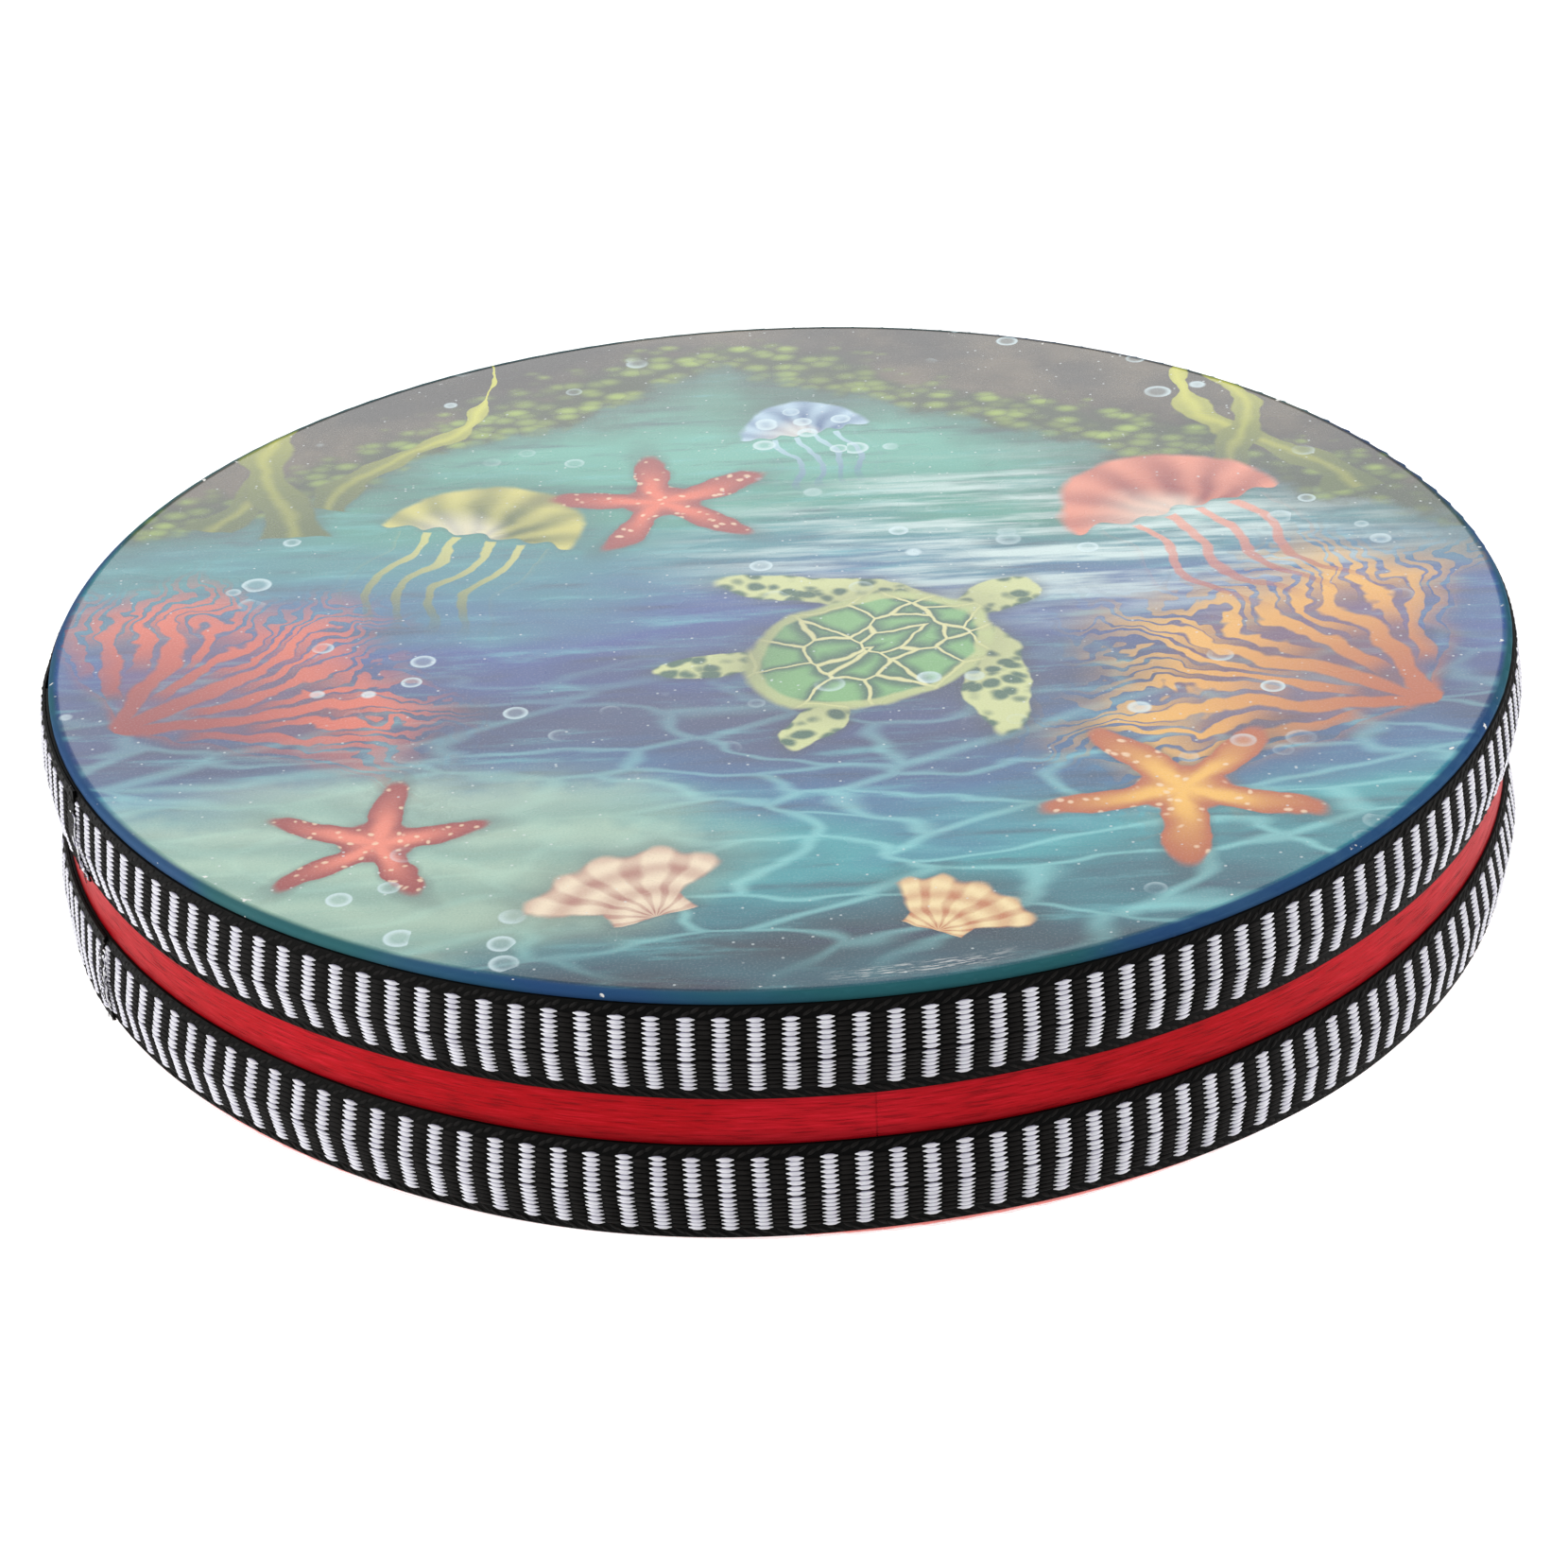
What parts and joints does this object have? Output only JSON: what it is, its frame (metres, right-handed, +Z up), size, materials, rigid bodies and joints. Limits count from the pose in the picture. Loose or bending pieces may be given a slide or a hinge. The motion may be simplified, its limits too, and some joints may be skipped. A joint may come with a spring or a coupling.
{
  "type": "ocean drum",
  "caption": "Flat round hand drum: a red wooden hoop with a printed film head and a clear film head, barred webbing bands, and loose steel beads that roll with a sea sound.",
  "frame": {"origin": "centre of the underside, on the lower head's outer face", "axes": "+Z up along the drum's axis, from the clear head to the printed head; +X to the right of the picture, and the picture looks along +Y"},
  "size_m": [0.2548, 0.2548, 0.044],
  "materials": {
    "red_wood": "semi-gloss red paint over bent plywood, with the grain showing",
    "printed_film": "satin polyester film with a sea-coloured print",
    "clear_film": "clear polyester film",
    "barred_webbing": "woven black webbing with raised white bars",
    "staple_steel": "galvanised wire",
    "bead_steel": "polished steel balls"
  },
  "bodies": {
    "drum": {"frame_hoop": "red_wood", "upper_head": "printed_film", "lower_head": "clear_film", "upper_band": "barred_webbing", "lower_band": "barred_webbing", "upper_staples": "staple_steel", "lower_staples": "staple_steel"},
    "rim_beads": {"rim_beads": "bead_steel"},
    "bead_row_01": {"bead_row_01": "bead_steel"},
    "bead_row_02": {"bead_row_02": "bead_steel"},
    "bead_row_03": {"bead_row_03": "bead_steel"},
    "bead_row_04": {"bead_row_04": "bead_steel"},
    "bead_row_05": {"bead_row_05": "bead_steel"},
    "bead_row_06": {"bead_row_06": "bead_steel"},
    "bead_row_07": {"bead_row_07": "bead_steel"},
    "bead_row_08": {"bead_row_08": "bead_steel"},
    "bead_row_09": {"bead_row_09": "bead_steel"},
    "bead_row_10": {"bead_row_10": "bead_steel"},
    "bead_row_11": {"bead_row_11": "bead_steel"},
    "bead_row_12": {"bead_row_12": "bead_steel"}
  },
  "joints": [
    {"name": "rim_beads_run", "type": "hinge", "parent": "drum", "child": "rim_beads", "pos_m": [0, 0, 0.0026], "axis": [0, 0, 1], "continuous": true},
    {"name": "bead_row_01_roll", "type": "slide", "parent": "drum", "child": "bead_row_01", "axis": [1, 0, 0], "range_m": [-0.0382, 0.0355]},
    {"name": "bead_row_02_roll", "type": "slide", "parent": "drum", "child": "bead_row_02", "axis": [1, 0, 0], "range_m": [-0.0409, 0.0405]},
    {"name": "bead_row_03_roll", "type": "slide", "parent": "drum", "child": "bead_row_03", "axis": [1, 0, 0], "range_m": [-0.0447, 0.0468]},
    {"name": "bead_row_04_roll", "type": "slide", "parent": "drum", "child": "bead_row_04", "axis": [1, 0, 0], "range_m": [-0.0493, 0.0495]},
    {"name": "bead_row_05_roll", "type": "slide", "parent": "drum", "child": "bead_row_05", "axis": [1, 0, 0], "range_m": [-0.0543, 0.0488]},
    {"name": "bead_row_06_roll", "type": "slide", "parent": "drum", "child": "bead_row_06", "axis": [1, 0, 0], "range_m": [-0.0471, 0.0487]},
    {"name": "bead_row_07_roll", "type": "slide", "parent": "drum", "child": "bead_row_07", "axis": [1, 0, 0], "range_m": [-0.0471, 0.0481]},
    {"name": "bead_row_08_roll", "type": "slide", "parent": "drum", "child": "bead_row_08", "axis": [1, 0, 0], "range_m": [-0.0494, 0.0474]},
    {"name": "bead_row_09_roll", "type": "slide", "parent": "drum", "child": "bead_row_09", "axis": [1, 0, 0], "range_m": [-0.0496, 0.0527]},
    {"name": "bead_row_10_roll", "type": "slide", "parent": "drum", "child": "bead_row_10", "axis": [1, 0, 0], "range_m": [-0.0472, 0.0457]},
    {"name": "bead_row_11_roll", "type": "slide", "parent": "drum", "child": "bead_row_11", "axis": [1, 0, 0], "range_m": [-0.0338, 0.0472]},
    {"name": "bead_row_12_roll", "type": "slide", "parent": "drum", "child": "bead_row_12", "axis": [1, 0, 0], "range_m": [-0.0305, 0.0359]}
  ]
}
